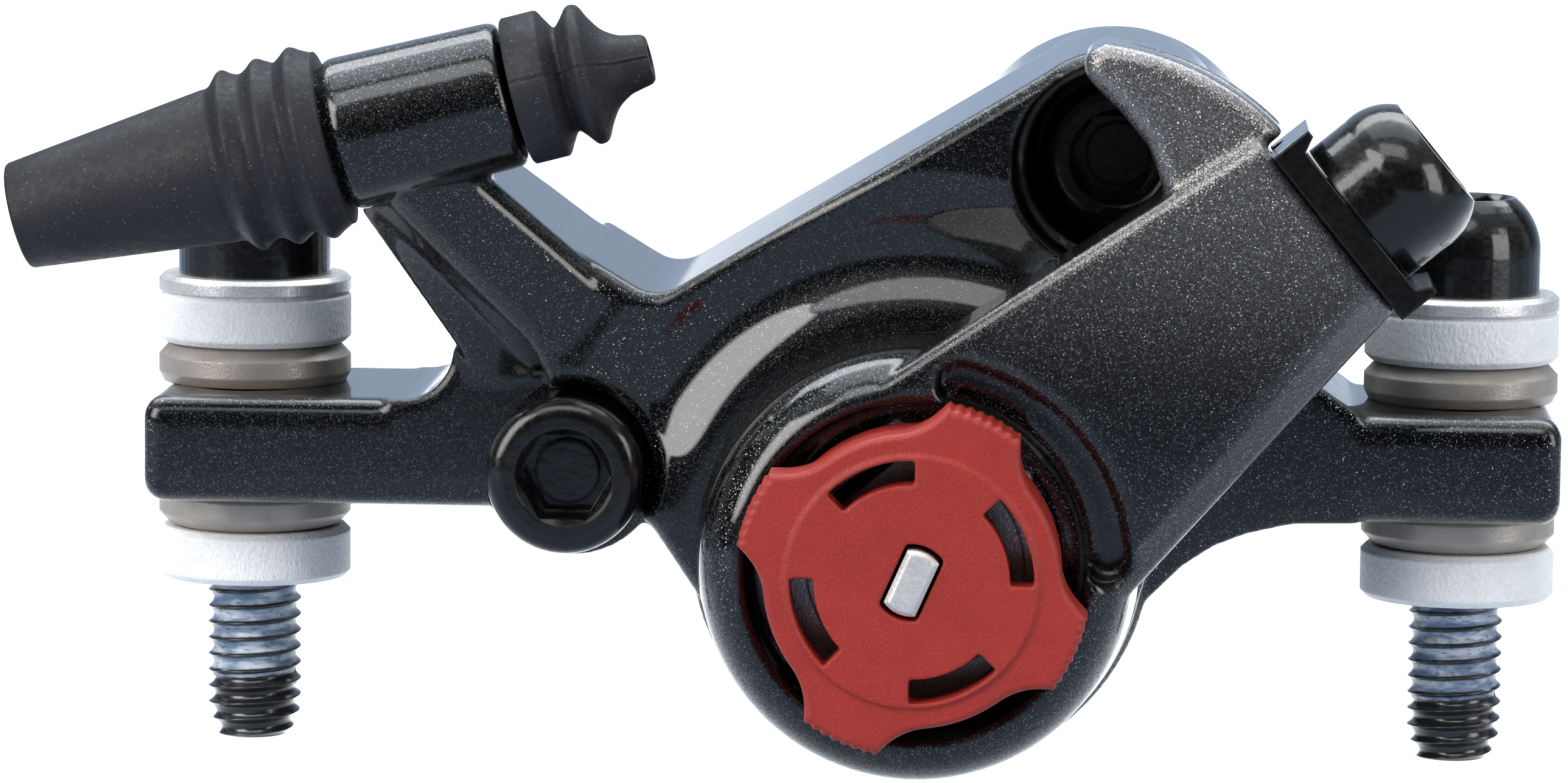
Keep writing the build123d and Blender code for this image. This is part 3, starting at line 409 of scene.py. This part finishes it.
# Turned pieces
def ring_faces(rings, around, first=0):
    """Faces between rings that have the same count of corners."""
    faces = []
    for ring in range(rings - 1):
        low, high = first + ring * around, first + (ring + 1) * around
        for step in range(around):
            after = (step + 1) % around
            faces.append((low + step, low + after, high + after, high + step))
    return faces


def curve_value(a, b, c, d, t):
    """The value between b and c on the smooth curve through a, b, c and d."""
    bend, twist = 2 * a - 5 * b + 4 * c - d, 3 * b - a - 3 * c + d
    return 0.5 * (2 * b + (c - a) * t + bend * t ** 2 + twist * t ** 3)


def smooth_line(points, steps):
    """Points along a smooth curve through the given ones."""
    ends = [points[0]] + list(points) + [points[-1]]
    line = []
    for corners in zip(ends, ends[1:], ends[2:], ends[3:]):
        for number in range(steps):
            line.append(tuple(curve_value(*values, number / steps) for values in zip(*corners)))
    return line + [points[-1]]


# Rubber pieces, turned about the cable stop's axis, as (along, radius) points in mm
STOP = Matrix.Translation(STOP_PLACE) @ Matrix.Rotation(-STOP_TILT, 4, "Y")
RUBBER_AROUND, RIB_STEPS = 240, 6
SEAM_RISE, SEAM_HALF = 0.05, 0.12
GROOVE_DEPTH, GROOVE_HALF, GROOVE_PLACE = 0.09, 0.1, 0.13
BOOT_CONE = [
    (-25.0, 2.98), (-24.94, 3.12), (-24.8, 3.2), (-22.0, 3.53), (-18.0, 3.99), (-14.0, 4.45)]
BOOT_RIBS = [
    (-12.7, 4.6), (-12.1, 4.7), (-11.3, 5.45), (-10.7, 5.15), (-10.2, 4.98), (-9.7, 5.2), (-9.1, 5.62),
    (-8.5, 5.35), (-8.05, 5.15), (-7.6, 5.4), (-7.0, 5.8), (-6.4, 5.5), (-5.9, 5.25), (-5.65, 5.2)]
BOOT_INSIDE = [(-5.65, 3.2), (-8.8, 3.2), (-8.8, 2.62), (-24.9, 2.62)]
BELLOWS_RIM = [(5.6, 4.3), (5.7, 4.4)]
BELLOWS_RIBS = [
    (7.5, 4.4), (7.75, 4.33), (8.1, 3.75), (8.55, 3.15), (9.0, 3.5), (9.5, 4.1), (9.85, 4.19),
    (10.2, 4.0), (10.6, 3.25), (11.2, 2.4), (12.0, 1.85), (12.7, 1.65), (13.4, 1.5), (13.65, 1.3)]
BELLOWS_INSIDE = [(13.65, 0.8), (8.0, 0.8), (8.0, 3.0), (5.6, 3.0)]
BELLOWS_SEAM = 2.93


def seam_height(away):
    """The moulding line's fine ridge with a groove beside it, at a distance around the piece."""
    ridge = SEAM_RISE * max(0, 1 - abs(away) / SEAM_HALF)
    groove = GROOVE_DEPTH * max(0, 1 - abs(away - GROOVE_PLACE) / GROOVE_HALF)
    return ridge - groove


def rubber_piece(node, outside, inside, seam_angle=None):
    """A turned rubber piece, with a moulding line where a seam's angle is given."""
    line = outside + inside + outside[:1]
    corners = []
    for number, (along, radius) in enumerate(line):
        seamed = seam_angle is not None and 0 < number < len(outside) - 1
        for step in range(RUBBER_AROUND):
            angle = 2 * pi * step / RUBBER_AROUND
            full = radius + (seam_height((angle - seam_angle) * radius) if seamed else 0)
            corners.append(STOP @ (Vector((along, full * cos(angle), full * sin(angle))) * MM))
    faces = ring_faces(len(line), RUBBER_AROUND)
    piece = mesh_object(node + "_turned", corners, faces, SLOT_MATERIALS["black_rubber"])
    link(piece, node_body[node])
    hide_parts(node)


rubber_piece("housing_boot", BOOT_CONE + smooth_line(BOOT_RIBS, RIB_STEPS), BOOT_INSIDE)
rubber_piece("cable_boot", BELLOWS_RIM + smooth_line(BELLOWS_RIBS, RIB_STEPS), BELLOWS_INSIDE,
             seam_angle=BELLOWS_SEAM)


# Threads of the mounting bolts, with the locking patch, in mm. The pitch is 1 mm
THREAD_TOP, THREAD_TIP, THREAD_STEP = 0.4, -9.98, 0.05
THREAD_AROUND = 120
CREST_R, ROOT_R, PATCHED_ROOT_R, NECK_R = 2.88, 2.46, 2.54, 2.98
CREST_SHARPNESS = 2.2
RUN_OUT, RUN_OUT_LENGTH, NECK_LENGTH = -0.45, 0.35, 0.42
TAPER_TOP, TAPER_SHARE = -8.3, 0.22
PATCH_TOP, PATCH_LOW, PATCH_TOP_SLANT = -0.75, -6.9, 0.4
PATCH_CREST, PATCH_FADE = 0.55, 0.2


def thread_ring(z, angle):
    """The thread's radius, and how much of the patch covers it, at a height and an angle."""
    turned = angle / (2 * pi)
    crest = (1 - 2 * abs((z - turned) % 1 - 0.5)) ** CREST_SHARPNESS
    crest *= min(1, max(0, (RUN_OUT - z) / RUN_OUT_LENGTH))
    patched = PATCH_LOW + turned < z < PATCH_TOP + PATCH_TOP_SLANT * turned
    root = PATCHED_ROOT_R if patched else ROOT_R
    radius = root + (CREST_R - root) * crest
    if z > RUN_OUT:
        radius = ROOT_R + (NECK_R - ROOT_R) * min(1, (z - RUN_OUT) / NECK_LENGTH)
    if z < TAPER_TOP:
        radius *= 1 - TAPER_SHARE * (TAPER_TOP - z) / (TAPER_TOP - THREAD_TIP)
    return radius, min(1, max(0, (PATCH_CREST - crest) / PATCH_FADE)) if patched else 0


heads = bmesh.new()
heads.from_mesh(nodes["mount_bolts"].data)
bmesh.ops.bisect_plane(heads, geom=heads.verts[:] + heads.edges[:] + heads.faces[:], dist=1e-7,
                       plane_co=(0, 0, THREAD_TOP * MM), plane_no=(0, 0, 1), clear_inner=True)
bolts_mesh = bpy.data.meshes.new("mount_bolts_threaded")
heads.to_mesh(bolts_mesh)
heads.free()
corners = [tuple(vertex.co) for vertex in bolts_mesh.vertices]
faces = [tuple(face.vertices) for face in bolts_mesh.polygons]
head_count, covers = len(faces), [0.0] * len(corners)
rings = int((THREAD_TOP - THREAD_TIP) / THREAD_STEP) + 1
for place in BOLT_PLACES:
    first = len(corners)
    for ring in range(rings):
        z = THREAD_TOP + (THREAD_TIP - THREAD_TOP) * ring / (rings - 1)
        for step in range(THREAD_AROUND):
            angle = 2 * pi * step / THREAD_AROUND
            radius, cover = thread_ring(z, angle)
            corners.append(((place + radius * cos(angle)) * MM, radius * sin(angle) * MM, z * MM))
            covers.append(cover)
    faces += [face[::-1] for face in ring_faces(rings, THREAD_AROUND, first)]
    faces.append(tuple(range(len(corners) - THREAD_AROUND, len(corners)))[::-1])
bolts = mesh_object("mount_bolts_threaded", corners, faces, SLOT_MATERIALS["black_steel"])
bolts.data.materials.append(patched_thread)
for number, face in enumerate(bolts.data.polygons):
    face.material_index = int(number >= head_count)
    face.use_smooth = number >= head_count and len(face.vertices) == 4
cover_values = bolts.data.attributes.new("patch", "FLOAT", "POINT")
cover_values.data.foreach_set("value", covers)
link(bolts, node_body["mount_bolts"])
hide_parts("mount_bolts")


# The camera, where the photograph was taken from
back = Vector((sin(YAW) * cos(PITCH), -cos(YAW) * cos(PITCH), sin(PITCH)))
level_turn = (-back).to_track_quat("-Z", "Y")
camera = bpy.data.objects.new("camera", bpy.data.cameras.new("camera"))
link(camera)
camera.data.sensor_width = SENSOR_WIDTH
camera.data.lens = FOCAL_PIXELS / PICTURE_WIDTH * SENSOR_WIDTH
camera.data.clip_start = CLIP_START
camera.data.clip_end = CLIP_END
camera.location = TARGET + back * DISTANCE
camera.rotation_mode = "QUATERNION"
camera.rotation_quaternion = level_turn @ Matrix.Rotation(ROLL, 3, "Z").to_quaternion()
scene.camera = camera


# Backdrop: a sheet that lies on the floor and curves up behind, in metres
FLOOR_Z, SHEET_FRONT, SHEET_HALF = -0.045, -1.4, 2.5
CURVE_START, CURVE_R, CURVE_STEPS, SHEET_TOP = 0.8, 0.4, 24, 1.6

# The sheet is white where the camera sees it. Around that it is painted blue-grey, as painted light,
# and far in front it is painted dark, as painted shade, because the gloss paint mirrors those parts
WHITE_SHEET, PAINTED_BLUE_LIGHT_SHEET, PAINTED_SHADE_SHEET = grey(0.92), (0.24, 0.29, 0.37, 1), (0.055, 0.055, 0.062, 1)
WHITE_BACK, WHITE_SIDE, WHITE_HEIGHT = (-0.08, 0.14), (0.08, 0.26), (-0.03, 0.05)
WHITE_WIDENS = 0.14
PAINTED_BLUE_LIGHT_FRONT = (-0.56, -0.32)
sheet_paper = Nodes("sheet_paper", Roughness=0.9, Specular_IOR_Level=0.1)
sheet_x, sheet_y, sheet_z = sheet_paper.add("ShaderNodeSeparateXYZ", Vector=sheet_paper.place).outputs
widened = sheet_paper.math("MULTIPLY", sheet_y, WHITE_WIDENS)
aside = sheet_paper.math("SUBTRACT", sheet_paper.math("ABSOLUTE", sheet_x), widened)
white = sheet_paper.ramp(sheet_y, *WHITE_BACK, 0, 1)
white = sheet_paper.math("MULTIPLY", white, sheet_paper.ramp(aside, *WHITE_SIDE, 1, 0))
white = sheet_paper.math("MULTIPLY", white, sheet_paper.ramp(sheet_z, *WHITE_HEIGHT, 1, 0))
# Painted light and shade on the sheet: dark far in front, blue-grey nearer, for the gloss paint to
# mirror
painted_light_and_shade = sheet_paper.mix(sheet_paper.ramp(sheet_y, *PAINTED_BLUE_LIGHT_FRONT, 0, 1), PAINTED_SHADE_SHEET, PAINTED_BLUE_LIGHT_SHEET)
sheet_paper.to("Base Color", sheet_paper.mix(white, painted_light_and_shade, WHITE_SHEET))
sheet_line = [(SHEET_FRONT, FLOOR_Z)]
for step in range(CURVE_STEPS + 1):
    turn = radians(90) * step / CURVE_STEPS
    sheet_line.append((CURVE_START + CURVE_R * sin(turn), FLOOR_Z + CURVE_R * (1 - cos(turn))))
sheet_line.append((CURVE_START + CURVE_R, SHEET_TOP))
sheet_corners = [(x, y, z) for y, z in sheet_line for x in (-SHEET_HALF, SHEET_HALF)]
sheet_faces = [(2 * n, 2 * n + 1, 2 * n + 3, 2 * n + 2) for n in range(len(sheet_line) - 1)]
sheet = mesh_object("sheet", sheet_corners, sheet_faces, sheet_paper.material)
link(sheet)

# Soft boxes: name, place, size, radiance, tint and the place each one is aimed at, in metres
WARM, COOL, SKY_BLUE = (1, 0.97, 0.94), (0.95, 0.98, 1), (0.82, 0.91, 1)
PART_MIDDLE, SHEET_BEHIND = (0, 0, 0.01), (0, 0.9, 0)
SOFT_BOXES = [
    ("top_light", (0.0, 0.08, 0.70), (0.90, 0.55), 1.7, SKY_BLUE, PART_MIDDLE),
    ("left_light", (-0.62, -0.55, 0.36), (0.48, 0.62), 7.6, WARM, PART_MIDDLE),
    ("right_light", (0.72, -0.45, 0.20), (0.35, 0.60), 5.2, WARM, PART_MIDDLE),
    ("front_light", (-0.10, -0.60, 0.82), (0.75, 0.36), 3.2, COOL, PART_MIDDLE),
    ("back_light", (0.0, 0.55, 0.85), (1.60, 0.70), 3.8, COOL, SHEET_BEHIND)]
for name, place, (width, depth), radiance, tint, aim in SOFT_BOXES:
    data = bpy.data.lights.new(name, "AREA")
    data.shape = "RECTANGLE"
    data.size, data.size_y = width, depth
    data.energy = radiance * pi * width * depth
    data.color = tint
    lamp = bpy.data.objects.new(name, data)
    lamp.location = place
    lamp.rotation_mode = "QUATERNION"
    lamp.rotation_quaternion = (Vector(aim) - Vector(place)).to_track_quat("-Z", "Y")
    link(lamp)

# Dim surroundings on the camera's side, brighter above (Z) and behind (Y)
SKY_COLOUR = (0.90, 0.95, 1, 1)
SKY_RAMPS = [("Z", 0.35, 0.75, 0.0, 0.4), ("Y", -0.2, 0.5, 0.04, 0.5)]
world = bpy.data.worlds.new("studio")
scene.world = world
world.use_nodes = True
sky = world.node_tree
split = sky.nodes.new("ShaderNodeSeparateXYZ")
sky.links.new(sky.nodes.new("ShaderNodeTexCoord").outputs["Generated"], split.inputs[0])
total = sky.nodes.new("ShaderNodeMath")
for number, (axis, *span) in enumerate(SKY_RAMPS):
    brightness = sky.nodes.new("ShaderNodeMapRange")
    set_ramp(brightness, *span)
    sky.links.new(split.outputs[axis], brightness.inputs["Value"])
    sky.links.new(brightness.outputs[0], total.inputs[number])
sky.links.new(total.outputs[0], sky.nodes["Background"].inputs["Strength"])
sky.nodes["Background"].inputs["Color"].default_value = SKY_COLOUR
scene.view_settings.view_transform = "Standard"
